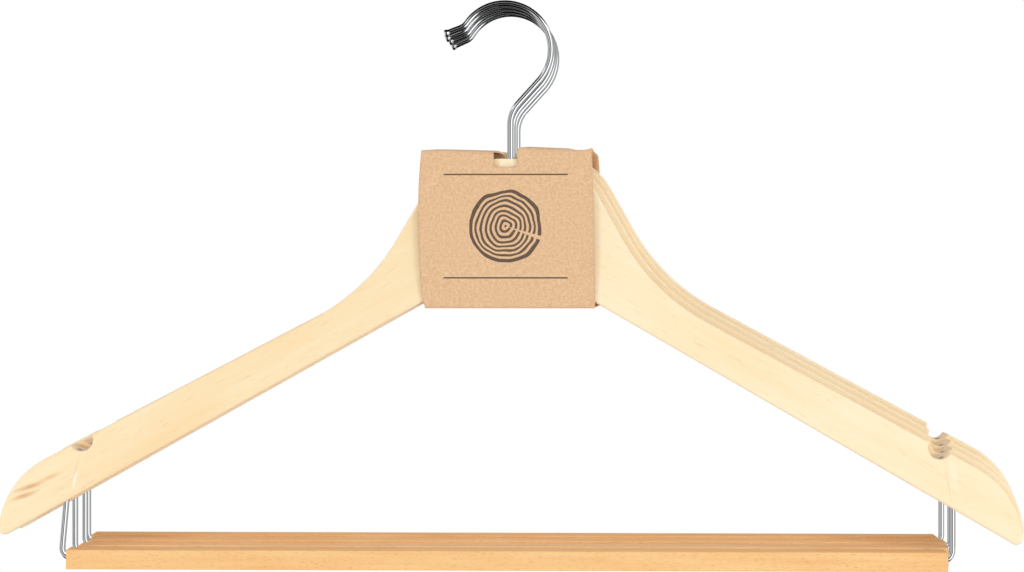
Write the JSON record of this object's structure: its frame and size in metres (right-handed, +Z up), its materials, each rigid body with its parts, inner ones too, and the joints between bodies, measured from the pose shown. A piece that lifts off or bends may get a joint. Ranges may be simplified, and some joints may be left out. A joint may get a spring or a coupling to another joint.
{
  "type": "wooden clothes hanger",
  "caption": "Pack of flat wooden clothes hangers with swivelling wire hooks, loop notches and square trouser bars, held together by a folded kraft paper sleeve.",
  "frame": {"origin": "under the hooks' crowns, where a rail touches them, halfway through the pack's depth", "axes": "+Z up, +X to the hangers' right arms as seen from the printed front, +Y to the back of the pack"},
  "size_m": [0.4536, 0.0528, 0.2497],
  "materials": {
    "arm_wood": "pale beech, clear satin lacquer",
    "bar_wood": "orange-brown hardwood, clear lacquer",
    "hook_chrome": "bright plated wire",
    "wire_chrome": "bright plated wire",
    "washer_steel": "plain zinc-plated",
    "kraft": "matt brown kraft, one printed side"
  },
  "bodies": {
    "pack": {"arm_left_1": "arm_wood", "arm_right_1": "arm_wood", "hook_washer_1": "washer_steel", "wire_left_1": "wire_chrome", "wire_right_1": "wire_chrome", "bar_1": "bar_wood", "arm_left_2": "arm_wood", "arm_right_2": "arm_wood", "hook_washer_2": "washer_steel", "wire_left_2": "wire_chrome", "wire_right_2": "wire_chrome", "bar_2": "bar_wood", "arm_left_3": "arm_wood", "arm_right_3": "arm_wood", "hook_washer_3": "washer_steel", "wire_left_3": "wire_chrome", "wire_right_3": "wire_chrome", "bar_3": "bar_wood", "arm_left_4": "arm_wood", "arm_right_4": "arm_wood", "hook_washer_4": "washer_steel", "wire_left_4": "wire_chrome", "wire_right_4": "wire_chrome", "bar_4": "bar_wood", "paper_sleeve": "kraft"},
    "swivel_1": {"hook_1": "hook_chrome"},
    "swivel_2": {"hook_2": "hook_chrome"},
    "swivel_3": {"hook_3": "hook_chrome"},
    "swivel_4": {"hook_4": "hook_chrome"}
  },
  "joints": [
    {"name": "hook_1_swivel", "type": "hinge", "parent": "pack", "child": "swivel_1", "pos_m": [0.0004, -0.01845, 0], "axis": [0, 0, 1], "range_deg": [-8, 8]},
    {"name": "hook_2_swivel", "type": "hinge", "parent": "pack", "child": "swivel_2", "pos_m": [0.0012, -0.00615, 0], "axis": [0, 0, 1], "range_deg": [-8, 8]},
    {"name": "hook_3_swivel", "type": "hinge", "parent": "pack", "child": "swivel_3", "pos_m": [0.002, 0.00615, 0], "axis": [0, 0, 1], "range_deg": [-8, 8]},
    {"name": "hook_4_swivel", "type": "hinge", "parent": "pack", "child": "swivel_4", "pos_m": [0.003, 0.01845, 0], "axis": [0, 0, 1], "range_deg": [-8, 8]}
  ]
}
